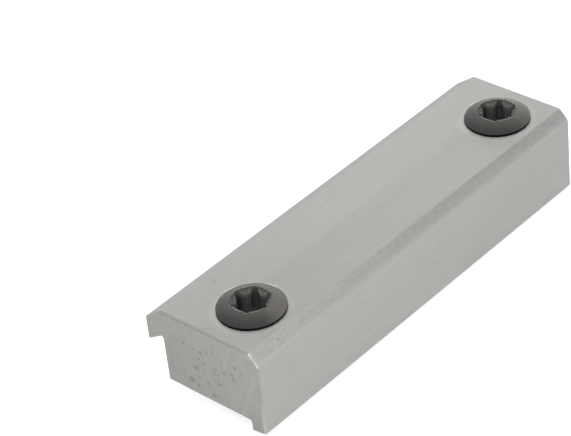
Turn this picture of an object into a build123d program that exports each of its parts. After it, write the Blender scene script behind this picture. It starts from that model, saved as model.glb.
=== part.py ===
import os
from math import cos, radians, sin, sqrt

from build123d import *

os.makedirs("parts", exist_ok=True)

# Frame: X runs across the strip from the clamping lip to the heel, Y along it, Z up.
# The origin is at the middle of the footprint, level with the lowest edge of the heel.

# Extruded strip
strip_length = 80.0
strip_width = 24.0
body_height = 14.0
heel_width = 3.0
heel_depth = 2.0
sole_rise = 0.4
lip_reach = 3.4
lip_bevel_run = 3.9
lip_bevel_drop = 2.8
lip_face_height = 4.5
lip_hook_rise = 2.1
back_bevel_run = 1.7
back_bevel_drop = 1.75
back_bevel_top_radius = 0.6
back_bevel_foot_radius = 1.2
corner_radius = 0.2
root_radius = 0.3
sole_radius = 0.6
saw_edge_chamfer = 0.2

# Screw holes
hole_to_end = 8.6
hole_to_back = 8.6
thread_diameter = 6.0
hole_play = 0.6
head_angle = 90.0
head_diameter = 11.3
rim_overhang = 0.12

# Raised countersunk screws
tip_above_sole = 0.65
dome_rise = 1.7
land_height = 0.53
rim_round = 0.12
tip_chamfer = 0.6
socket_tip_diameter = 6.75
socket_waist_diameter = 4.85
socket_tip_radius = 0.565
socket_depth = 3.5
socket_drill_diameter = 4.2
socket_drill_depth = 0.8
socket_mouth_diameter = 6.3
socket_turn = -1.0

# Values that follow from the ones above
lip_x = -strip_width / 2
back_x = strip_width / 2
belly_z = heel_depth
top_z = belly_z + body_height
body_x = lip_x + lip_reach
heel_x = back_x - heel_width
lip_tip_z = top_z - lip_bevel_drop - lip_face_height
hole_x = back_x - hole_to_back
hole_y = strip_length / 2 - hole_to_end
hole_diameter = thread_diameter + hole_play
countersink_diameter = head_diameter - 2 * rim_overhang
countersink_slope = cos(radians(head_angle / 2)) / sin(radians(head_angle / 2))
head_radius = head_diameter / 2
shank_radius = thread_diameter / 2
cone_height = (head_radius - shank_radius) * countersink_slope

# The head seats in a countersink that is narrower than its rim, so its land stands clear of the top.
land_top_z = top_z + rim_overhang * countersink_slope + land_height
screw_length = land_top_z - tip_above_sole

# Corners of the section, each with its radius: hooked lip, top, back, heel and belly
section_corners = [
    (lip_x, lip_tip_z, corner_radius),
    (lip_x, top_z - lip_bevel_drop, corner_radius),
    (lip_x + lip_bevel_run, top_z, corner_radius),
    (back_x - back_bevel_run, top_z, back_bevel_top_radius),
    (back_x, top_z - back_bevel_drop, back_bevel_foot_radius),
    (back_x, sole_rise, sole_radius),
    (heel_x, 0, corner_radius),
    (heel_x, belly_z, root_radius),
    (body_x, belly_z, corner_radius),
    (body_x, lip_tip_z + lip_hook_rise, root_radius),
]

# Extruded body with two countersunk holes
with BuildPart() as strip_body:
    with BuildSketch(Plane.XZ):
        with BuildLine():
            FilletPolyline(
                [(x, z) for x, z, radius in section_corners],
                radius=[radius for x, z, radius in section_corners],
                close=True,
            )
        make_face()
    extrude(amount=strip_length / 2, both=True)
    sawn_ends = strip_body.faces().filter_by(Axis.Y)
    chamfer(sawn_ends.edges(), saw_edge_chamfer)
    with Locations((hole_x, -hole_y, top_z), (hole_x, hole_y, top_z)):
        CounterSinkHole(
            radius=hole_diameter / 2,
            counter_sink_radius=countersink_diameter / 2,
            counter_sink_angle=head_angle,
        )
strip_body.part.label = "strip_body"
export_step(strip_body.part, "parts/strip_body.step")

# Screw on its own axis, with the top of the head's land at zero
lobe_centre = socket_tip_diameter / 2 - socket_tip_radius
waist_radius = socket_waist_diameter / 2
half_step = radians(30)

# Radius of the bulges between the six tips, from the arcs being tangent to each other
bulge_radius = (
    socket_tip_radius**2 - lobe_centre**2 - waist_radius**2 + 2 * lobe_centre * waist_radius * cos(half_step)
) / (2 * (waist_radius - lobe_centre * cos(half_step) - socket_tip_radius))
bulge_centre = waist_radius + bulge_radius
tangent_share = socket_tip_radius / (socket_tip_radius + bulge_radius)


def polar(radius, angle):
    return Vector(radius * cos(angle), radius * sin(angle))


dome_radius = (head_radius**2 + dome_rise**2) / (2 * dome_rise)
mouth_radius = socket_mouth_diameter / 2
mouth_z = sqrt(dome_radius**2 - mouth_radius**2) - dome_radius + dome_rise

with BuildPart() as clamp_screw:
    with BuildSketch(Plane.XZ):
        with BuildLine():
            RadiusArc((0, dome_rise), (head_radius, 0), dome_radius)
            Polyline(
                (head_radius, 0),
                (head_radius, -land_height),
                (shank_radius, -land_height - cone_height),
                (shank_radius, -screw_length + tip_chamfer),
                (shank_radius - tip_chamfer, -screw_length),
                (0, -screw_length),
                (0, dome_rise),
            )
        make_face()
    revolve(axis=Axis.Z)
    fillet(clamp_screw.edges().filter_by_position(Axis.Z, -0.01, 0.01), rim_round)

    # Six-lobe socket: straight walls, a drilled bottom and a flared mouth
    with BuildSketch(Plane.XY.offset(mouth_z - socket_depth)):
        with BuildLine(Rotation(0, 0, socket_turn)):
            for lobe in range(6):
                middle = lobe * 2 * half_step
                tip = polar(lobe_centre, middle)
                bulge_before = polar(bulge_centre, middle - half_step)
                bulge_after = polar(bulge_centre, middle + half_step)
                next_tip = polar(lobe_centre, middle + 2 * half_step)
                start = tip + (bulge_before - tip) * tangent_share
                end = tip + (bulge_after - tip) * tangent_share
                next_start = next_tip + (bulge_after - next_tip) * tangent_share
                ThreePointArc(start, polar(socket_tip_diameter / 2, middle), end)
                ThreePointArc(end, polar(waist_radius, middle + half_step), next_start)
        make_face()
    extrude(amount=socket_depth + dome_rise, mode=Mode.SUBTRACT)
    with Locations((0, 0, mouth_z - socket_depth)):
        Cone(
            0.05,
            socket_drill_diameter / 2,
            socket_drill_depth,
            align=(Align.CENTER, Align.CENTER, Align.MAX),
            mode=Mode.SUBTRACT,
        )
    with Locations((0, 0, mouth_z + dome_rise)):
        Cone(
            waist_radius / 2,
            mouth_radius + dome_rise,
            mouth_radius + dome_rise - waist_radius / 2,
            align=(Align.CENTER, Align.CENTER, Align.MAX),
            mode=Mode.SUBTRACT,
        )

with BuildPart() as front_screw:
    with Locations((hole_x, -hole_y, land_top_z)):
        add(clamp_screw.part)
front_screw.part.label = "front_screw"
export_step(front_screw.part, "parts/front_screw.step")

with BuildPart() as rear_screw:
    with Locations((hole_x, hole_y, land_top_z)):
        add(clamp_screw.part)
rear_screw.part.label = "rear_screw"
export_step(rear_screw.part, "parts/rear_screw.step")
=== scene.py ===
import bpy
import math
from mathutils import Matrix, Vector


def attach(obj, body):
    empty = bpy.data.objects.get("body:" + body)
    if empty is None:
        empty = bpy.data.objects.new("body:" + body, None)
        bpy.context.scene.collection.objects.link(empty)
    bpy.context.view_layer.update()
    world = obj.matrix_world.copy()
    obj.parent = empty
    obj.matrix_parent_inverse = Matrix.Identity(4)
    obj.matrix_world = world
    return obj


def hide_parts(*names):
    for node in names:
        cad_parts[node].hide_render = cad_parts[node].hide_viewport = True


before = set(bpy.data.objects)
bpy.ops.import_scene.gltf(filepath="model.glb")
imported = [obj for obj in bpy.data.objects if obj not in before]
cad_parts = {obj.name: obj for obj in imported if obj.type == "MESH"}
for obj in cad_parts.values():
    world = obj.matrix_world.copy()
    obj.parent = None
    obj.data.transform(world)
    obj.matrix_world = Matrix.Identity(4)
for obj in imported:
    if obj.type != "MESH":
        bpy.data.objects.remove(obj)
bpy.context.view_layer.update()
print("frame loaded:", ", ".join(sorted(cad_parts)))

# Camera, solved from the strip's corners in the photo
cameraView = {
    "place": (0.211642, -0.227662, 0.237998),
    "turn": (
        (0.747465, -0.328386, 0.577460),
        (0.657237, 0.492002, -0.570941),
        (-0.096622, 0.806286, 0.583581),
    ),
    "lens": 147.2877,
    "sensorWidth": 36.0,
    "nearest": 0.01,
    "farthest": 20.0,
}

# the way to the photo's camera, seen from above
photoSide = (0.545, -0.839)


def addCamera(view):
    data = bpy.data.cameras.new("camera")
    data.lens = view["lens"]
    data.sensor_fit = "HORIZONTAL"
    data.sensor_width = view["sensorWidth"]
    data.clip_start = view["nearest"]
    data.clip_end = view["farthest"]
    camera = bpy.data.objects.new("camera", data)
    bpy.context.scene.collection.objects.link(camera)
    camera.matrix_world = Matrix.Translation(view["place"]) @ Matrix(view["turn"]).to_4x4()
    bpy.context.scene.camera = camera


addCamera(cameraView)
print("camera placed")


# Helpers for the node trees: a term is a number or a socket
def newMaterial(name):
    material = bpy.data.materials.new(name)
    material.use_nodes = True
    material.node_tree.nodes.clear()
    return material, material.node_tree


def addNode(tree, kind, settings=None, values=None):
    node = tree.nodes.new(kind)
    for key, value in (settings or {}).items():
        setattr(node, key, value)
    for key, value in (values or {}).items():
        node.inputs[key].default_value = value
    return node


def calc(tree, operation, *terms):
    node = addNode(tree, "ShaderNodeMath", {"operation": operation})
    for index, term in enumerate(terms):
        if isinstance(term, (int, float)):
            node.inputs[index].default_value = term
        else:
            tree.links.new(term, node.inputs[index])
    return node.outputs[0]


def chain(tree, operation, terms):
    result = terms[0]
    for term in terms[1:]:
        result = calc(tree, operation, result, term)
    return result


def plus(tree, *terms):
    return chain(tree, "ADD", terms)


def times(tree, *terms):
    return chain(tree, "MULTIPLY", terms)


def largest(tree, *terms):
    return chain(tree, "MAXIMUM", terms)


def minus(tree, first, second):
    return calc(tree, "SUBTRACT", first, second)


def addShare(tree, base, term, share):
    # base plus a share of the term
    return calc(tree, "MULTIPLY_ADD", term, share, base)


def weigh(tree, first, firstShare, second, secondShare):
    return addShare(tree, times(tree, second, secondShare), first, firstShare)


def centred(tree, value):
    return minus(tree, value, 0.5)


def distance(tree, first, second):
    return calc(tree, "SQRT", plus(tree, times(tree, first, first), times(tree, second, second)))


def ramp(tree, value, start, end, low=0.0, high=1.0):
    # smooth step from low at the start to high at the end, held on both sides
    node = addNode(tree, "ShaderNodeMapRange", {"interpolation_type": "SMOOTHSTEP"})
    tree.links.new(value, node.inputs["Value"])
    for key, number in (("From Min", start), ("From Max", end), ("To Min", low), ("To Max", high)):
        node.inputs[key].default_value = number
    return node.outputs["Result"]


def millimetres(tree):
    # object coordinates in millimetres, as three sockets
    place = addNode(tree, "ShaderNodeTexCoord")
    scaled = addNode(tree, "ShaderNodeVectorMath", {"operation": "SCALE"}, {"Scale": 1000.0})
    parts = addNode(tree, "ShaderNodeSeparateXYZ")
    tree.links.new(place.outputs["Object"], scaled.inputs[0])
    tree.links.new(scaled.outputs["Vector"], parts.inputs["Vector"])
    return parts.outputs["X"], parts.outputs["Y"], parts.outputs["Z"]


def noise(tree, place, scales, detail=2.0, roughness=0.55, shift=(0.0, 0.0, 0.0)):
    # noise stretched by one scale for each direction, in cycles per millimetre
    join = addNode(tree, "ShaderNodeCombineXYZ")
    for index, (part, scale, offset) in enumerate(zip(place, scales, shift)):
        tree.links.new(calc(tree, "MULTIPLY_ADD", part, scale, offset), join.inputs[index])
    node = addNode(tree, "ShaderNodeTexNoise", values={"Scale": 1.0, "Detail": detail, "Roughness": roughness})
    tree.links.new(join.outputs["Vector"], node.inputs["Vector"])
    return node.outputs["Fac"]


def mixColours(tree, factor, first, second):
    node = addNode(tree, "ShaderNodeMix", {"data_type": "RGBA"})
    tree.links.new(factor, node.inputs["Factor"])
    for key, value in (("A", first), ("B", second)):
        socket = [item for item in node.inputs if item.name == key and item.type == "RGBA"][0]
        if isinstance(value, tuple):
            socket.default_value = value
        else:
            tree.links.new(value, socket)
    return [item for item in node.outputs if item.type == "RGBA"][0]


def tint(tree, colour, factor):
    # colour times a grey factor
    node = addNode(tree, "ShaderNodeVectorMath", {"operation": "SCALE"})
    if isinstance(colour, tuple):
        node.inputs[0].default_value = colour[:3]
    else:
        tree.links.new(colour, node.inputs[0])
    tree.links.new(factor, node.inputs["Scale"])
    return node.outputs["Vector"]


def addSurface(tree, settings, colour, roughness, height):
    # the shader with its settings, and with colour, roughness and bump from the nodes
    bump = addNode(tree, "ShaderNodeBump", values={"Strength": 1.0, "Distance": 1.0})
    tree.links.new(height, bump.inputs["Height"])
    shader = addNode(tree, "ShaderNodeBsdfPrincipled", values=settings)
    tree.links.new(colour, shader.inputs["Base Color"])
    tree.links.new(roughness, shader.inputs["Roughness"])
    tree.links.new(bump.outputs["Normal"], shader.inputs["Normal"])
    out = addNode(tree, "ShaderNodeOutputMaterial")
    tree.links.new(shader.outputs["BSDF"], out.inputs["Surface"])
    return shader


# World: plain studio light, white to the camera and in gloss and glass
studioWorld = {"colour": (1.0, 1.0, 1.0, 1.0), "lightStrength": 0.95, "whiteStrength": 1.0}


def whiteRays(tree):
    path = addNode(tree, "ShaderNodeLightPath")
    return largest(tree, *[path.outputs[ray] for ray in ("Is Glossy Ray", "Is Transmission Ray", "Is Camera Ray")])


def makeWorld(values):
    world = bpy.data.worlds.new("studio")
    bpy.context.scene.world = world
    world.use_nodes = True
    tree = world.node_tree
    tree.nodes.clear()
    mix = addNode(tree, "ShaderNodeMixShader")
    tree.links.new(whiteRays(tree), mix.inputs["Fac"])
    for index, strength in ((1, values["lightStrength"]), (2, values["whiteStrength"])):
        glow = addNode(tree, "ShaderNodeBackground", values={"Color": values["colour"], "Strength": strength})
        tree.links.new(glow.outputs["Background"], mix.inputs[index])
    out = addNode(tree, "ShaderNodeOutputWorld")
    tree.links.new(mix.outputs["Shader"], out.inputs["Surface"])


makeWorld(studioWorld)

# Floor: pale, with the strip's soft shadow on it, and white in the camera and in gloss
studioFloor = {"size": 6.0, "colour": (0.6, 0.6, 0.6, 1.0), "glowColour": (1.0, 1.0, 1.0, 1.0), "glow": 0.70}


def addFloor(values):
    bpy.ops.object.select_all(action="DESELECT")
    bpy.ops.mesh.primitive_plane_add(size=values["size"], location=(0, 0, 0))
    floor = bpy.context.active_object
    floor.name = "studioFloor"
    material, tree = newMaterial("paleFloor")
    matte = addNode(tree, "ShaderNodeBsdfDiffuse", values={"Color": values["colour"]})
    glow = addNode(tree, "ShaderNodeEmission", values={"Color": values["glowColour"]})
    tree.links.new(times(tree, whiteRays(tree), values["glow"]), glow.inputs["Strength"])
    both = addNode(tree, "ShaderNodeAddShader")
    out = addNode(tree, "ShaderNodeOutputMaterial")
    tree.links.new(matte.outputs["BSDF"], both.inputs[0])
    tree.links.new(glow.outputs["Emission"], both.inputs[1])
    tree.links.new(both.outputs["Shader"], out.inputs["Surface"])
    floor.data.materials.append(material)


addFloor(studioFloor)

# Lamp: one large soft one over the far end
studioLamps = {
    "farSoftbox": {"place": (-0.25, 0.85, 0.80), "aim": (0, 0, 0.01), "size": 1.0, "power": 0.32},
}


def addLamp(name, values):
    data = bpy.data.lights.new(name, "AREA")
    data.shape = "SQUARE"
    data.size = values["size"]
    data.energy = values["power"]
    lamp = bpy.data.objects.new(name, data)
    bpy.context.scene.collection.objects.link(lamp)
    back = (Vector(values["place"]) - Vector(values["aim"])).normalized()
    lamp.matrix_world = Matrix.Translation(values["place"]) @ back.to_track_quat("Z", "Y").to_matrix().to_4x4()


for lampName, lampValues in studioLamps.items():
    addLamp(lampName, lampValues)
print("studio lit")

# Strip: satin extruded aluminium with sawn ends, sizes in millimetres
# A mask's two numbers are where it starts and where it is full, and two more are its values there.
stripFinish = {
    "colour": (0.471, 0.473, 0.456, 1.0),
    "sawnColour": (0.380, 0.385, 0.360, 1.0),
    "paintedGlintColour": (0.86, 0.87, 0.84, 1.0),
    "metallic": 0.4,
    "roughness": 0.50,
    "sawnRoughness": 0.58,
    "speckRoughness": 0.10,
    "pitRoughness": 0.2,
    "glintRoughness": -0.18,
    "halfLength": 40.0,
    "topHeight": 16.0,
    "backSide": 12.0,
    "bellyHeight": 2.0,
    # masks of the faces
    "faces": {
        "long": (0.01, 0.03),
        "end": (0.03, 0.01),
        "top": (0.06, 0.02),
        "back": (0.06, 0.02),
        "backHeight": (14.0, 13.7),
        "lipBevel": (-8.1, -8.3),
        "lipBevelHeight": (13.1, 13.3),
        "bevel": (1.2, 0.8),
    },
    # streaks along the extrusion: cycles per millimetre in x, y and z, and strength
    "streaks": (
        ((0.22, 0.012, 0.22), 0.06),
        ((0.28, 0.07, 0.28), 0.05),
        ((0.9, 0.05, 0.9), 0.08),
        ((1.6, 0.35, 1.6), 0.075),
        ((3.0, 0.14, 3.0), 0.08),
    ),
    "streakShift": (3.1, 2.3, 1.7),
    "streakHeight": 0.000006,
    # changes of tone over a face, mostly painted shade and light, such as the top darker towards the near end and
    # the back darker towards the far end: face, direction, from, to, change
    "tones": (
        ("top", "x", -1.5, 1.5, -0.06),
        ("top", "x", 5.0, 9.0, 0.01),
        ("top", "y", 12.0, -46.0, -0.105),
        ("lipBevel", "x", -8.1, -8.2, -0.27),
        ("back", "y", 10.0, 40.0, -0.07),
        ("end", "x", -5.0, -10.5, -0.02),
        ("end", "x", -3.5, 1.0, 0.045),
        ("end", "x", 2.0, 9.0, 0.035),
        ("end", "z", 9.0, 13.0, 0.035),
    ),
    # the top's corner by the near end and the bevel is lighter, and the heel's part of each end darker
    "nearCorner": {"x": (0.0, 5.0), "y": (-33.0, -37.5), "gain": 0.05},
    "heel": {"x": (8.0, 9.5), "z": (6.0, 1.5), "loss": 0.09},
    # small dark marks on the top and the bevel: middle in x and y, half sizes in x and y, and loss
    "topMarks": (
        (-6.35, -29.5, 0.45, 0.22, 0.16),
        (11.07, -34.1, 0.20, 0.30, 0.22),
    ),
    "markHeight": (14.0, 14.2),
    "markEdge": (1.2, 0.6),
    # bevel on the back edge, with places across it from 0 at its top corner to 1 at its foot
    "bevel": {
        "corner": (10.3, 16.0),
        "run": 1.7,
        "drop": 1.75,
        # painted shade, deepest towards the far end
        "shade": 0.25,
        "shadeTop": (-0.09, 0.10),
        "shadeFoot": (1.15, 0.72),
        "shadeRoll": (0.9, 0.2, 0.75, 1.0),
        "shadeAlong": (-52.0, 24.0),
        # painted highlight along the near part of the foot
        "foot": 0.07,
        "footTop": (0.80, 0.98),
        "footEnd": (1.16, 1.0),
        "footAlong": (-20.0, -34.0),
        # mottling, and painted glints as bright specks near the foot
        "mottle": 0.36,
        "mottleAlong": (20.0, -24.0, 0.88, 1.0),
        "mottleNoise": {"scales": (1.3, 0.9, 1.3), "detail": 3.0, "roughness": 0.7, "shift": (7.0, 2.0, 3.0)},
        "bevelGlints": 0.26,
        "bevelGlintsTop": (0.60, 0.90),
        "bevelGlintsFoot": (1.25, 1.05),
        "bevelGlintsAlong": (10.0, -16.0, 0.2, 1.0),
        "bevelGlintsNoise": {"scales": (2.6, 2.2, 2.6), "detail": 1.0, "roughness": 0.5, "shift": (2.0, 9.0, 4.0)},
        "bevelGlintsPeaks": (0.61, 0.73),
    },
    # saw marks on both ends: noise and strength, with bands and lines that follow the lean of the saw
    "sawLean": (0.93, -0.36),
    "sawMarks": {
        "blotch": ({"scales": (0.45, 0.0, 0.45), "detail": 3.0, "roughness": 0.65, "shift": (5.0, 1.0, 2.0)}, 0.20),
        "band": ({"scales": (0.45, 0.10, 5.0), "shift": (2.0, 0.0, 3.0)}, 0.17),
        "line": ({"scales": (2.4, 0.35, 5.0), "roughness": 0.6, "shift": (1.0, 4.0, 2.0)}, 0.15),
        "speck": ({"scales": (3.0, 0.0, 3.0), "roughness": 0.6, "shift": (8.0, 3.0, 6.0)}, 0.26),
    },
    "lineHeight": 0.00001,
    # steps left by the saw on the near end, drawn as a painted highlight on one side and painted shade on the other:
    # place across the lean, light width and gain, dark width and loss, lowest and highest
    "sawSteps": (
        (0.60, 0.35, 0.10, 0.8, 0.07, 3.6, 15.6),
        (5.00, 0.80, 0.03, 0.55, 0.06, 2.6, 13.0),
        (6.15, 0.45, 0.06, 0.4, 0.00, 2.6, 13.0),
        (-8.00, 0.20, 0.00, 0.6, 0.06, 8.3, 13.4),
    ),
    "stepEdge": 0.08,
    "stepFades": (1.0, 1.5),
    # pits in the near end: x, z, radius
    "pits": (
        (2.99, 6.44, 0.32), (-1.74, 7.62, 0.44), (-0.01, 9.05, 0.23), (4.27, 9.28, 0.23), (-3.12, 4.52, 0.48),
        (0.48, 5.43, 0.24), (2.44, 12.41, 0.23), (-1.69, 3.97, 0.24), (6.02, 9.71, 0.24), (6.92, 11.54, 0.28),
        (1.07, 11.77, 0.25), (-0.95, 9.82, 0.22), (-3.90, 11.46, 0.25), (6.31, 8.85, 0.21), (-0.31, 11.12, 0.28),
        (2.32, 8.95, 0.22), (1.56, 3.39, 0.40), (-1.79, 11.23, 0.24),
    ),
    "pitMask": (1.7, 0.2),
    "pitTone": 0.80,
    "pitHeight": -0.00008,
    "pitWobble": 0.9,
    # smaller and shallower specks in the near end: x and z
    "specks": (
        (-0.06, 7.41), (5.33, 5.14), (2.11, 11.66), (9.49, 13.55), (6.44, 13.89), (-1.91, 14.37), (7.39, 13.35),
        (8.04, 10.68), (-0.97, 13.61), (2.18, 8.08), (0.94, 12.31), (-3.64, 9.16), (-1.40, 5.75), (-4.44, 5.73),
        (-5.45, 8.72), (0.06, 12.10), (5.54, 12.08), (6.85, 8.31), (3.99, 11.55), (0.73, 13.60), (4.08, 10.79),
        (2.45, 13.81), (8.37, 7.23), (6.93, 3.11),
    ),
    "speckRadius": 0.27,
    "speckMask": (1.2, 0.5),
    "speckTone": 0.81,
    # pits scattered over the far end
    "farPits": {"scale": 0.55, "mask": (0.20, 0.08)},
    # edge of each end: painted shade along the top, belly and back, painted glints on the bevel and down the lower
    # back
    "endEdge": {
        "noise": {"scales": (1.6, 1.6, 1.6), "roughness": 0.6, "shift": (1.0, 6.0, 2.0)},
        "uneven": 0.5,
        "edgeShadeTone": 0.80,
        "topShares": (1.5, 0.75),
        "edgeShadeTop": (0.42, 0.28),
        "edgeShadeTopSide": (10.6, 10.3),
        "edgeShadeBelly": (0.5, 0.25),
        "edgeShadeBellySide": (9.2, 8.8),
        "edgeShadeBack": (0.7, 0.3),
        "edgeShadeBackRise": (5.0, 8.0, 0.0, 0.25),
        "edgeShadeBackHeight": (13.9, 13.4),
        "brightBevel": (0.34, 0.20),
        "brightBevelSide": (10.15, 10.3),
        "brightBevelHeight": (13.75, 14.0),
        "brightBevelMiddle": 14.95,
        "brightBevelEnds": (0.3, 0.9, 0.35, 0.85),
        "backShares": (1.5, 0.6),
        "brightBack": (0.34, 0.24),
        "brightBackFall": (8.0, 1.5, 0.0, 0.25),
    },
    # round each hole: a painted light ring that lifts the head's shade and dark reflection on the top, strongest
    # towards the camera, and painted glints beside the head
    "aroundHoles": {
        "hole": (3.4, 31.4),
        "ringRadius": 7.8,
        "ringWidth": 2.2,
        "ringFade": 3.0,
        "ringGain": 0.85,
        "ringFacing": (0.0, 0.8, 0.41, 1.0),
        # direction in x and y, and inner radius
        "glintsBesideHead": ((-0.956, 0.292, 6.40), (-0.208, 0.978, 6.32)),
        "glintSpread": (0.975, 0.99),
        "glintInside": (-0.06, 0.06),
        "glintOutside": (0.26, 0.12),
        "glintStrength": 0.6,
    },
}


def addFaceTones(tree, tone, place, faces, values, names):
    for face, direction, start, end, change in values["tones"]:
        if face in names:
            part = ramp(tree, place["xyz".index(direction)], start, end)
            tone = addShare(tree, tone, times(tree, faces[face], part), change)
    return tone


def extrudedTone(tree, place, faces, values):
    # streaks that run along the strip, and the broad changes of tone on each long face, mostly painted shade and
    # light
    tone = 1.0
    for number, (scales, strength) in enumerate(values["streaks"]):
        streak = noise(tree, place, scales, shift=[part * number for part in values["streakShift"]])
        tone = addShare(tree, tone, centred(tree, streak), strength)
    tone = addFaceTones(tree, tone, place, faces, values, ("top", "lipBevel", "back"))
    return tone, times(tree, streak, values["streakHeight"])


def nearestShare(tree, spot, spots):
    # distance to the nearest spot, as a share of that spot's radius
    nearest = 9.0  # further off than any mask reaches
    for spotX, spotZ, radius in spots:
        gap = addNode(tree, "ShaderNodeVectorMath", {"operation": "DISTANCE"})
        tree.links.new(spot, gap.inputs[0])
        gap.inputs[1].default_value = (spotX, 0.0, spotZ)
        nearest = calc(tree, "MINIMUM", nearest, times(tree, gap.outputs["Value"], 1.0 / radius))
    return nearest


def pitMasks(tree, x, z, nearEnd, farEnd, speck, values):
    # pits and specks at their places in the near end, scattered pits in the far one, all with uneven outlines
    wobble = times(tree, centred(tree, speck), values["pitWobble"])
    join = addNode(tree, "ShaderNodeCombineXYZ")
    tree.links.new(plus(tree, x, wobble), join.inputs["X"])
    tree.links.new(minus(tree, z, wobble), join.inputs["Z"])
    spot = join.outputs["Vector"]
    nearPits = times(tree, nearEnd, ramp(tree, nearestShare(tree, spot, values["pits"]), *values["pitMask"]))
    speckSpots = [(speckX, speckZ, values["speckRadius"]) for speckX, speckZ in values["specks"]]
    specks = times(tree, nearEnd, ramp(tree, nearestShare(tree, spot, speckSpots), *values["speckMask"]))
    scatter = addNode(tree, "ShaderNodeTexVoronoi", values={"Scale": values["farPits"]["scale"], "Randomness": 1.0})
    tree.links.new(spot, scatter.inputs["Vector"])
    farPits = times(tree, farEnd, ramp(tree, scatter.outputs["Distance"], *values["farPits"]["mask"]))
    return largest(tree, nearPits, farPits), specks


def sawnTone(tree, place, faces, values):
    # slanted saw marks on both ends, with the steps of the near one as painted highlight and shade, its pits, and
    # the ends' painted shade and light
    x, y, z = place
    leanX, leanZ = values["sawLean"]
    across = weigh(tree, x, leanX, z, leanZ)
    along = weigh(tree, z, leanX, x, -leanZ)
    nearEnd = calc(tree, "LESS_THAN", y, 0.0)
    farEnd = calc(tree, "GREATER_THAN", y, 0.0)
    tone = 1.0
    marks = {}
    for name, (settings, strength) in values["sawMarks"].items():
        field = (across, along, farEnd) if name in ("band", "line") else place
        marks[name] = noise(tree, field, **settings)
        tone = addShare(tree, tone, centred(tree, marks[name]), strength)
    fadeIn, fadeOut = values["stepFades"]
    for middle, lightWidth, gain, darkWidth, loss, low, high in values["sawSteps"]:
        edge = middle + values["stepEdge"]
        reach = times(tree, nearEnd, ramp(tree, z, low, low + fadeIn), ramp(tree, z, high, high - fadeOut))
        light = times(tree, ramp(tree, across, middle - lightWidth, middle), ramp(tree, across, edge, middle))
        dark = times(tree, ramp(tree, across, middle, edge), ramp(tree, across, middle + darkWidth, middle))
        tone = addShare(tree, tone, times(tree, reach, light), gain)
        tone = addShare(tree, tone, times(tree, reach, dark), -loss)
    tone = addFaceTones(tree, tone, place, faces, values, ("end",))
    heel = values["heel"]
    tone = addShare(tree, tone, times(tree, ramp(tree, x, *heel["x"]), ramp(tree, z, *heel["z"])), -heel["loss"])
    pits, specks = pitMasks(tree, x, z, nearEnd, farEnd, marks["speck"], values)
    tone = addShare(tree, tone, pits, values["pitTone"] - 1.0)
    tone = addShare(tree, tone, specks, values["speckTone"] - 1.0)
    height = weigh(tree, marks["line"], values["lineHeight"], pits, values["pitHeight"])
    return tone, height, pits


def bevelPlace(tree, x, z, bevel):
    # how far a point lies across the bevel, from 0 at its top corner to 1 at its foot, and how deep under it
    cornerX, cornerZ = bevel["corner"]
    width = math.hypot(bevel["run"], bevel["drop"])
    alongX, alongZ = bevel["run"] / width, bevel["drop"] / width
    pastX = minus(tree, x, cornerX)
    pastZ = minus(tree, cornerZ, z)
    across = weigh(tree, pastX, alongX / width, pastZ, alongZ / width)
    under = weigh(tree, pastZ, alongX, pastX, -alongZ)
    return across, under


def bevelTone(tree, place, across, bevel):
    # painted shade under the top corner and towards the far end, rolling into the back, mottled, with a painted
    # highlight along the foot and painted glints near it
    y = place[1]
    shape = times(tree, *[ramp(tree, across, *bevel[part]) for part in ("shadeTop", "shadeFoot", "shadeRoll")])
    tone = times(tree, shape, ramp(tree, y, *bevel["shadeAlong"]), -bevel["shade"])
    foot = times(tree, ramp(tree, across, *bevel["footTop"]), ramp(tree, across, *bevel["footEnd"]))
    tone = addShare(tree, tone, times(tree, ramp(tree, y, *bevel["footAlong"]), foot), bevel["foot"])
    mottle = centred(tree, noise(tree, place, **bevel["mottleNoise"]))
    mottle = times(tree, shape, ramp(tree, y, *bevel["mottleAlong"]), mottle)
    tone = addShare(tree, tone, mottle, bevel["mottle"])
    band = times(tree, ramp(tree, across, *bevel["bevelGlintsTop"]), ramp(tree, across, *bevel["bevelGlintsFoot"]))
    peaks = ramp(tree, noise(tree, place, **bevel["bevelGlintsNoise"]), *bevel["bevelGlintsPeaks"])
    bevelGlints = times(tree, band, ramp(tree, y, *bevel["bevelGlintsAlong"]), peaks)
    return addShare(tree, tone, bevelGlints, bevel["bevelGlints"])


def fromHole(tree, place, hole):
    # the way from the nearer hole's axis, the distance to it, and 1 at the near hole
    x, y = place[:2]
    near = calc(tree, "LESS_THAN", y, 0.0)
    sideX = minus(tree, x, hole[0])
    sideY = calc(tree, "MULTIPLY_ADD", near, 2 * hole[1], minus(tree, y, hole[1]))
    return sideX, sideY, distance(tree, sideX, sideY), near


def paintedLightRoundHoles(tree, place, onTop, marks):
    # painted light round a hole: a ring that lifts the head's shade on the top, and glints beside the head
    sideX, sideY, away = fromHole(tree, place, marks["hole"])[:3]
    inside = times(tree, minus(tree, marks["ringRadius"], away), 1.0 / marks["ringWidth"])
    share = calc(tree, "POWER", largest(tree, inside, 0.0), marks["ringFade"])
    towardsPhoto = weigh(tree, sideX, photoSide[0], sideY, photoSide[1])
    facing = ramp(tree, calc(tree, "DIVIDE", towardsPhoto, away), *marks["ringFacing"])
    ring = times(tree, onTop, facing, share, marks["ringGain"])
    glintBesideHead = 0.0
    for towardsX, towardsY, edge in marks["glintsBesideHead"]:
        ahead = weigh(tree, sideY, towardsY, sideX, towardsX)
        window = ramp(tree, calc(tree, "DIVIDE", ahead, away), *marks["glintSpread"])
        past = minus(tree, away, edge)
        band = times(tree, ramp(tree, past, *marks["glintInside"]), ramp(tree, past, *marks["glintOutside"]))
        glintBesideHead = largest(tree, glintBesideHead, times(tree, onTop, window, band, marks["glintStrength"]))
    return ring, glintBesideHead


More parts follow.
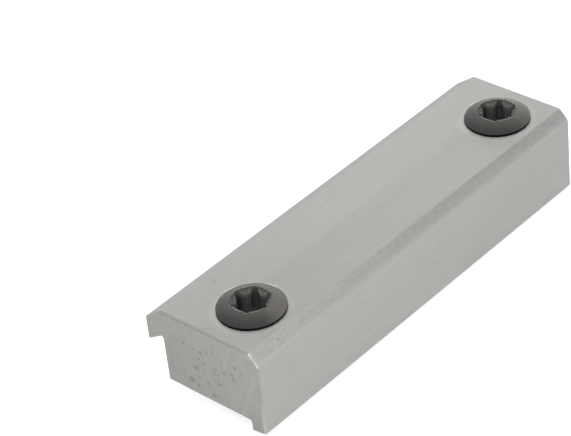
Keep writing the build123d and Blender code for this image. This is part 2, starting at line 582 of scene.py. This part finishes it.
def endEdges(tree, place, reach, speck, edges):
    # painted shade and painted glints along the edge of each end, from how far a point lies from the faces that meet
    # there
    x, z = place[0], place[2]
    uneven = times(tree, centred(tree, speck), edges["uneven"])
    toEnd, toTop, toBack, toBevel = reach["end"], reach["top"], reach["back"], reach["bevel"]
    overTop = weigh(tree, toEnd, edges["topShares"][0], toTop, edges["topShares"][1])
    edgeShadeTop = times(
        tree, ramp(tree, plus(tree, overTop, uneven), *edges["edgeShadeTop"]), ramp(tree, x, *edges["edgeShadeTopSide"]),
    )
    edgeShadeBelly = times(
        tree, ramp(tree, plus(tree, toEnd, reach["belly"], uneven), *edges["edgeShadeBelly"]),
        ramp(tree, x, *edges["edgeShadeBellySide"]),
    )
    edgeShadeBack = times(
        tree, ramp(tree, plus(tree, toEnd, toBack), *edges["edgeShadeBack"]), ramp(tree, z, *edges["edgeShadeBackRise"]),
        ramp(tree, z, *edges["edgeShadeBackHeight"]),
    )
    toCorner = calc(tree, "MINIMUM", toBevel, toBack)
    fromMiddle = calc(tree, "ABSOLUTE", minus(tree, z, edges["brightBevelMiddle"]))
    brightBevel = times(
        tree, ramp(tree, plus(tree, toEnd, toCorner), *edges["brightBevel"]),
        ramp(tree, x, *edges["brightBevelSide"]), ramp(tree, z, *edges["brightBevelHeight"]),
        ramp(tree, fromMiddle, *edges["brightBevelEnds"]),
    )
    overBack = weigh(tree, toEnd, edges["backShares"][0], toBack, edges["backShares"][1])
    brightBack = times(
        tree, ramp(tree, overBack, *edges["brightBack"]), ramp(tree, z, *edges["brightBackFall"]),
    )
    return largest(tree, edgeShadeTop, edgeShadeBelly, edgeShadeBack), largest(tree, brightBevel, brightBack)


def stripMaterial(values):
    material, tree = newMaterial("satinAluminium")
    place = millimetres(tree)
    x, y, z = place
    bevel = values["bevel"]
    acrossBevel, underBevel = bevelPlace(tree, x, z, bevel)
    reach = {
        "end": minus(tree, values["halfLength"], calc(tree, "ABSOLUTE", y)),
        "top": minus(tree, values["topHeight"], z),
        "back": minus(tree, values["backSide"], x),
        "belly": calc(tree, "ABSOLUTE", minus(tree, z, values["bellyHeight"])),
        "bevel": underBevel,
    }
    masks = values["faces"]
    long = ramp(tree, reach["end"], *masks["long"])
    faces = {
        "end": ramp(tree, reach["end"], *masks["end"]),
        "top": times(tree, long, ramp(tree, reach["top"], *masks["top"])),
        "back": times(tree, long, ramp(tree, reach["back"], *masks["back"]), ramp(tree, z, *masks["backHeight"])),
        "lipBevel": times(tree, long, ramp(tree, x, *masks["lipBevel"]), ramp(tree, z, *masks["lipBevelHeight"])),
    }

    # long faces: streaks, the bevel's painted shade and highlights, the lighter corner, the marks, and a painted
    # light ring round each hole
    faceTone, faceHeight = extrudedTone(tree, place, faces, values)
    onBevel = times(tree, long, ramp(tree, underBevel, *masks["bevel"]))
    faceTone = addShare(tree, faceTone, onBevel, bevelTone(tree, place, acrossBevel, bevel))
    corner = values["nearCorner"]
    onCorner = times(tree, faces["top"], ramp(tree, x, *corner["x"]), ramp(tree, y, *corner["y"]))
    faceTone = addShare(tree, faceTone, onCorner, corner["gain"])
    for markX, markY, halfX, halfY, loss in values["topMarks"]:
        offX = times(tree, minus(tree, x, markX), 1.0 / halfX)
        offY = times(tree, minus(tree, y, markY), 1.0 / halfY)
        mark = ramp(tree, distance(tree, offX, offY), *values["markEdge"])
        faceTone = addShare(tree, faceTone, times(tree, ramp(tree, z, *values["markHeight"]), mark), -loss)
    ring, glintBesideHead = paintedLightRoundHoles(tree, place, faces["top"], values["aroundHoles"])
    # the painted light ring round each hole
    faceTone = plus(tree, faceTone, ring)

    # ends, with painted shade and glints along their edges, and the painted glints beside the heads
    endTone, endHeight, pits = sawnTone(tree, place, faces, values)
    edges = values["endEdge"]
    speck = noise(tree, place, **edges["noise"])
    paintedEdgeShade, paintedGlints = endEdges(tree, place, reach, speck, edges)
    paintedGlints = largest(tree, paintedGlints, glintBesideHead)

    longFace = tint(tree, values["colour"], faceTone)
    sawnFace = tint(tree, values["sawnColour"], endTone)
    colour = mixColours(tree, faces["end"], longFace, sawnFace)
    # painted shade along the end edges, then the painted glints
    colour = tint(tree, colour, addShare(tree, 1.0, paintedEdgeShade, edges["edgeShadeTone"] - 1.0))
    colour = mixColours(tree, paintedGlints, colour, values["paintedGlintColour"])

    roughness = addShare(tree, values["roughness"], faces["end"], values["sawnRoughness"] - values["roughness"])
    roughness = addShare(tree, roughness, centred(tree, speck), values["speckRoughness"])
    roughness = addShare(tree, roughness, pits, values["pitRoughness"])
    roughness = addShare(tree, roughness, paintedGlints, values["glintRoughness"])
    height = plus(tree, times(tree, long, faceHeight), times(tree, faces["end"], endHeight))
    addSurface(tree, {"Metallic": values["metallic"]}, colour, roughness, height)
    return material


def dress(piece, material):
    for slot in piece.material_slots:
        slot.material = material


dress(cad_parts["strip_body"], stripMaterial(stripFinish))
print("strip finished")

# Screws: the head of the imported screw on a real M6 thread, sizes in metres
screwShape = {
    "axis": (0.0034, -0.0314),
    "toRear": 0.0628,
    "neckEnd": 0.0124,
    "tip": 0.00065,
    "tipChamfer": 0.0008,
    "threadTop": 0.0126,
    "pitch": 0.001,
    "crestRadius": 0.00296,
    "rootRadius": 0.00239,
    "crestFlat": 0.000125,
    "rootFlat": 0.00017,
    "turnSteps": 56,
    # thread swept before its lowest turn is cut off, in pitches, and turns made beside those that show
    "leadIn": 2,
    "spareTurns": 4,
    # the thread is cut this far past the tip, then trimmed by the blank
    "pastTip": 0.0002,
    "blankRadius": 0.0032,
    "blankHeight": 0.014,
    "blankSides": 96,
    "startSize": 0.0001,
    "weldGap": 0.000001,
    "turnWeldGap": 0.000002,
    "cutGap": 0.0000001,
    "smoothAngle": 28,
}


def selectOnly(piece):
    bpy.ops.object.select_all(action="DESELECT")
    piece.select_set(True)
    bpy.context.view_layer.objects.active = piece


def startEdit(piece):
    selectOnly(piece)
    bpy.ops.object.mode_set(mode="EDIT")
    bpy.ops.mesh.select_all(action="SELECT")


def applyModifier(piece, kind, **settings):
    selectOnly(piece)
    modifier = piece.modifiers.new("step", kind)
    for key, value in settings.items():
        setattr(modifier, key, value)
    bpy.ops.object.modifier_apply(modifier=modifier.name)


def useUp(piece, tool, operation, shape):
    # an exact boolean that uses the tool up; points that it leaves side by side become one
    applyModifier(piece, "BOOLEAN", operation=operation, object=tool, solver="EXACT")
    bpy.data.objects.remove(tool)
    startEdit(piece)
    bpy.ops.mesh.remove_doubles(threshold=shape["weldGap"])
    bpy.ops.mesh.dissolve_degenerate(threshold=shape["weldGap"])
    bpy.ops.object.mode_set(mode="OBJECT")


def cutLevel(height, keepAbove, shape):
    # in edit mode: cut the mesh square to its axis, close it there and keep one side
    bpy.ops.mesh.select_all(action="SELECT")
    bpy.ops.mesh.bisect(
        plane_co=(0, 0, height), plane_no=(0, 0, 1), threshold=shape["cutGap"], use_fill=True,
        clear_inner=keepAbove, clear_outer=not keepAbove,
    )


def closeEdit():
    bpy.ops.mesh.select_all(action="SELECT")
    bpy.ops.mesh.normals_make_consistent(inside=False)
    bpy.ops.object.mode_set(mode="OBJECT")


def copyHead(node, shape):
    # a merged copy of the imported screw, cut off below its neck
    piece = bpy.data.objects.new("frontScrew", node.data.copy())
    bpy.context.scene.collection.objects.link(piece)
    startEdit(piece)
    bpy.ops.mesh.remove_doubles(threshold=shape["weldGap"])
    cutLevel(shape["neckEnd"], True, shape)
    closeEdit()
    return piece


def turnThread(shape):
    # one pitch of the profile is drawn as a line, swept round as a screw, and cut square at both ends
    axisX, axisY = shape["axis"]
    flank = (shape["pitch"] - shape["crestFlat"] - shape["rootFlat"]) / 2
    depth = shape["crestRadius"] - shape["rootRadius"]
    start = shape["tip"] - shape["leadIn"] * shape["pitch"]
    turns = math.ceil((shape["threadTop"] - shape["tip"]) / shape["pitch"]) + shape["spareTurns"]
    bpy.ops.object.select_all(action="DESELECT")
    bpy.ops.mesh.primitive_plane_add(size=shape["startSize"], location=(0, 0, 0))
    thread = bpy.context.active_object
    thread.name = "thread"
    startEdit(thread)
    bpy.ops.mesh.merge(type="CENTER")
    bpy.ops.transform.translate(value=(shape["rootRadius"], 0, 0))
    for step in ((0, 0, shape["rootFlat"]), (depth, 0, flank), (0, 0, shape["crestFlat"]), (-depth, 0, flank)):
        bpy.ops.mesh.extrude_region_move(TRANSFORM_OT_translate={"value": step})
    bpy.ops.object.mode_set(mode="OBJECT")
    applyModifier(
        thread, "SCREW", axis="Z", angle=2 * math.pi, screw_offset=shape["pitch"], iterations=turns,
        steps=shape["turnSteps"], render_steps=shape["turnSteps"], use_merge_vertices=False,
    )
    startEdit(thread)
    bpy.ops.mesh.remove_doubles(threshold=shape["turnWeldGap"])
    bpy.ops.transform.translate(value=(axisX, axisY, start))
    cutLevel(shape["tip"] - shape["pastTip"], True, shape)
    cutLevel(shape["threadTop"], False, shape)
    closeEdit()
    return thread


def tipBlank(shape):
    # a chamfered blank that the thread is trimmed to
    axisX, axisY = shape["axis"]
    middle = shape["tip"] + shape["blankHeight"] / 2
    bpy.ops.object.select_all(action="DESELECT")
    bpy.ops.mesh.primitive_cylinder_add(
        vertices=shape["blankSides"], radius=shape["blankRadius"], depth=shape["blankHeight"],
        location=(axisX, axisY, middle),
    )
    blank = bpy.context.active_object
    bpy.ops.object.transform_apply(location=True, rotation=True, scale=True)
    bpy.ops.object.mode_set(mode="EDIT")
    bpy.ops.mesh.select_mode(type="EDGE")
    bpy.ops.mesh.select_all(action="DESELECT")
    bpy.ops.object.mode_set(mode="OBJECT")
    points = blank.data.vertices
    for edge in blank.data.edges:
        edge.select = all(points[index].co.z < middle for index in edge.vertices)
    bpy.ops.object.mode_set(mode="EDIT")
    bpy.ops.mesh.bevel(offset=shape["tipChamfer"], segments=1)
    bpy.ops.object.mode_set(mode="OBJECT")
    return blank


def makeScrew(node, shape):
    piece = copyHead(node, shape)
    thread = turnThread(shape)
    useUp(thread, tipBlank(shape), "INTERSECT", shape)
    useUp(piece, thread, "UNION", shape)
    bpy.ops.object.shade_smooth_by_angle(angle=math.radians(shape["smoothAngle"]))
    return piece


def copyToRear(screw, shape):
    rear = bpy.data.objects.new("rearScrew", screw.data.copy())
    bpy.context.scene.collection.objects.link(rear)
    startEdit(rear)
    bpy.ops.transform.translate(value=(0, shape["toRear"], 0))
    bpy.ops.object.mode_set(mode="OBJECT")
    return rear


# Black oxide, with painted sheen round the socket, and painted glints as bare steel off the rim in places, sizes in
# millimetres
screwFinish = {
    "hole": (3.4, 31.4),
    "oxideColour": (0.012, 0.0115, 0.011, 1.0),
    "paintedSheenColour": (0.104, 0.098, 0.091, 1.0),
    "landColour": (0.012, 0.012, 0.012, 1.0),
    "socketColour": (0.045, 0.0425, 0.040, 1.0),
    "wallTopColour": (0.140, 0.134, 0.127, 1.0),
    "flareColour": (0.085, 0.081, 0.076, 1.0),
    "flareEdgeColour": (0.150, 0.144, 0.137, 1.0),
    "mouthLineColour": (0.024, 0.023, 0.022, 1.0),
    "edgeColour": (0.30, 0.295, 0.29, 1.0),
    "rimGlintColour": (0.80, 0.79, 0.77, 1.0),
    "glossColour": (1.0, 0.975, 0.93, 1.0),
    "ior": 1.55,
    "roughness": (0.32, 0.41),
    "dullRoughness": 0.30,
    "threadRoughness": -0.1,
    "grainHeight": 0.000006,
    # sizes of the head: its dome, the six-lobe mouth and wall of the socket, the rim and the land under it
    "domeRadius": 10.239,
    "domeCentre": 8.111,
    "mouthRadius": 3.15,
    "tipRadius": 3.375,
    "tipTurn": -1.0,
    "lobeSharpness": 2.564,
    "wallRadius": 2.90,
    "wallWave": 0.475,
    "wallDepth": 1.7,
    "rimRadius": 5.65,
    "landTop": 16.65,
    # masks of the head's surfaces, from places under the dome, past the mouth's outline or from the axis
    "onDome": (0.05, 0.02),
    "belowDome": (0.02, 0.05),
    "insideSocket": (3.50, 3.45),
    "outsideSocket": (3.45, 3.50),
    "flareTop": (-0.10, -0.04),
    "flareInside": (-0.02, -0.22, 0.1, 1.0),
    "flareEdge": (0.24, 0.06),
    "flareEdgeGrain": (0.3, 0.55, 0.4, 1.0),
    "land": (-0.08, -0.13),
    "thread": (13.2, 12.9),
    # painted sheen: round the mouth, towards the far end and towards the back
    "sheenRound": (3.35, 5.45, 0.47, 0.0),
    "sheenFar": (-3.0, 5.0, 0.0, 0.47),
    "sheenBack": (1.5, 7.0),
    "sheenBackShares": (0.32, 0.58),
    "sheenPatch": 0.2,
    # lines along the mouth: painted shade inside it, away from the camera, and a painted highlight outside it,
    # towards it
    "mouthLine": (-0.20, -0.10),
    "mouthLineSide": (0.6, -0.4),
    "mouthEdge": (0.15, 0.05),
    "mouthEdgeSide": (0.7, 1.4),
    # painted glints on the rim: bare steel in two stretches
    "rimInside": (-0.14, -0.08),
    "rimHeight": (-0.12, -0.08),
    "rimGlintLip": (-4.6, -5.3),
    "rimGlintFar": (5.2, 5.6, 0.0, 0.6),
    "rimGlintGrain": (0.38, 0.5),
    # grain, patches and turning marks, and how far grain and turning change the tone
    "grain": {"scales": (4.0, 4.0, 4.0), "detail": 3.0},
    "patch": {"scales": (0.45, 0.45, 0.45), "shift": (4.0, 2.0, 7.0)},
    "turning": {"scales": (4.5, 0.35, 6.0), "detail": 1.0, "shift": (1.0, 3.0, 5.0)},
    "noiseSpan": (0.3, 0.7),
    "grainTone": (0.88, 1.14),
    "turningTone": (0.93, 1.08),
}


def screwMaterial(values):
    material, tree = newMaterial("blackOxide")
    place = millimetres(tree)
    z = place[2]
    sideX, sideY, radius, near = fromHole(tree, place, values["hole"])
    turn = calc(tree, "ARCTAN2", sideY, sideX)
    towardsPhoto = weigh(tree, sideX, photoSide[0], sideY, photoSide[1])
    grain = noise(tree, place, **values["grain"])
    patch = noise(tree, place, **values["patch"])
    turning = noise(tree, (radius, turn, near), **values["turning"])

    # how far a point lies under the dome, and where the socket's mouth and its flare are
    domeReach = minus(tree, values["domeRadius"] ** 2, times(tree, radius, radius))
    under = minus(tree, plus(tree, calc(tree, "SQRT", domeReach), values["domeCentre"]), z)
    sixfold = calc(tree, "COSINE", addShare(tree, -6.0 * math.radians(values["tipTurn"]), turn, 6.0))
    lobe = addShare(tree, 1.0 - values["lobeSharpness"], sixfold, values["lobeSharpness"])
    lobe = calc(tree, "POWER", largest(tree, lobe, 0.0), 0.5)
    mouth = addShare(tree, values["mouthRadius"], lobe, values["tipRadius"] - values["mouthRadius"])
    pastMouth = minus(tree, radius, mouth)
    onDome = ramp(tree, under, *values["onDome"])
    belowDome = ramp(tree, under, *values["belowDome"])
    inSocket = times(tree, belowDome, ramp(tree, radius, *values["insideSocket"]))
    mouthTop = values["domeCentre"] + math.sqrt(values["domeRadius"] ** 2 - values["mouthRadius"] ** 2)
    flareTop = [mouthTop - values["mouthRadius"] + part for part in values["flareTop"]]
    onFlare = times(tree, inSocket, ramp(tree, minus(tree, z, radius), *flareTop))
    landSpan = [values["landTop"] + part for part in values["land"]]
    onLand = times(tree, belowDome, ramp(tree, radius, *values["outsideSocket"]), ramp(tree, z, *landSpan))

    # painted sheen: lighter near the mouth, and more on the sides towards the far end and the back, in uneven
    # patches
    backShare, nearShare = values["sheenBackShares"]
    onBack = ramp(tree, plus(tree, sideX, sideY), *values["sheenBack"])
    paintedSheen = plus(tree, ramp(tree, radius, *values["sheenRound"]), ramp(tree, sideY, *values["sheenFar"]))
    paintedSheen = plus(tree, paintedSheen, times(tree, onBack, addShare(tree, backShare, near, nearShare)))
    paintedSheen = addShare(tree, paintedSheen, centred(tree, patch), values["sheenPatch"])
    colour = mixColours(tree, paintedSheen, values["oxideColour"], values["paintedSheenColour"])
    # the land under the rim is near black: painted shade of the gap under the head
    colour = mixColours(tree, onLand, colour, values["landColour"])

    # socket: painted shade, dark below and lighter towards the mouth, with a pale flare of painted light
    wallUp = ramp(tree, z, mouthTop - values["wallDepth"], mouthTop)
    wallColour = mixColours(tree, wallUp, values["socketColour"], values["wallTopColour"])
    colour = mixColours(tree, inSocket, colour, wallColour)
    flare = times(tree, onFlare, ramp(tree, pastMouth, *values["flareInside"]))
    colour = mixColours(tree, flare, colour, values["flareColour"])

    # painted highlights on the lower edge of the flare and on the mouth's edge towards the camera, and painted shade
    # inside the mouth away from it
    toWall = minus(tree, radius, addShare(tree, values["wallRadius"], sixfold, values["wallWave"]))
    edgeGrain = ramp(tree, grain, *values["flareEdgeGrain"])
    flareEdge = times(tree, onFlare, ramp(tree, toWall, *values["flareEdge"]), edgeGrain)
    colour = mixColours(tree, flareEdge, colour, values["flareEdgeColour"])
    lineSide = ramp(tree, towardsPhoto, *values["mouthLineSide"])
    mouthLine = times(tree, onFlare, ramp(tree, pastMouth, *values["mouthLine"]), lineSide)
    colour = mixColours(tree, mouthLine, colour, values["mouthLineColour"])
    edgeSide = ramp(tree, towardsPhoto, *values["mouthEdgeSide"])
    mouthEdge = times(tree, onDome, ramp(tree, pastMouth, *values["mouthEdge"]), edgeSide)
    colour = mixColours(tree, mouthEdge, colour, values["edgeColour"])
    colour = tint(tree, colour, ramp(tree, grain, *values["noiseSpan"], *values["grainTone"]))
    colour = tint(tree, colour, ramp(tree, turning, *values["noiseSpan"], *values["turningTone"]))

    # painted glints: bare steel on the rim
    rimInside = [values["rimRadius"] + part for part in values["rimInside"]]
    rimHeight = [values["landTop"] + part for part in values["rimHeight"]]
    onRim = times(tree, ramp(tree, radius, *rimInside), ramp(tree, z, *rimHeight))
    stretches = largest(tree, ramp(tree, sideX, *values["rimGlintLip"]), ramp(tree, sideY, *values["rimGlintFar"]))
    rimGlint = times(tree, onRim, stretches, ramp(tree, grain, *values["rimGlintGrain"]))
    colour = mixColours(tree, rimGlint, colour, values["rimGlintColour"])

    roughness = ramp(tree, grain, *values["noiseSpan"], *values["roughness"])
    roughness = addShare(tree, roughness, largest(tree, onLand, inSocket), values["dullRoughness"])
    roughness = addShare(tree, roughness, ramp(tree, z, *values["thread"]), values["threadRoughness"])
    height = times(tree, grain, values["grainHeight"])
    gloss = {"IOR": values["ior"], "Specular Tint": values["glossColour"]}
    shader = addSurface(tree, gloss, colour, roughness, height)
    # metal where the rim shows painted glints, and on the land, where it keeps the painted shade dark
    tree.links.new(largest(tree, rimGlint, onLand), shader.inputs["Metallic"])
    return material


frontScrew = makeScrew(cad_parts["front_screw"], screwShape)
dress(frontScrew, screwMaterial(screwFinish))
rearScrew = copyToRear(frontScrew, screwShape)
for screw, nodeName in ((frontScrew, "front_screw"), (rearScrew, "rear_screw")):
    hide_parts(nodeName)
    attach(screw, "root")
print("screws made:", len(frontScrew.data.polygons), "faces each")

bpy.context.scene.view_settings.view_transform = "Standard"
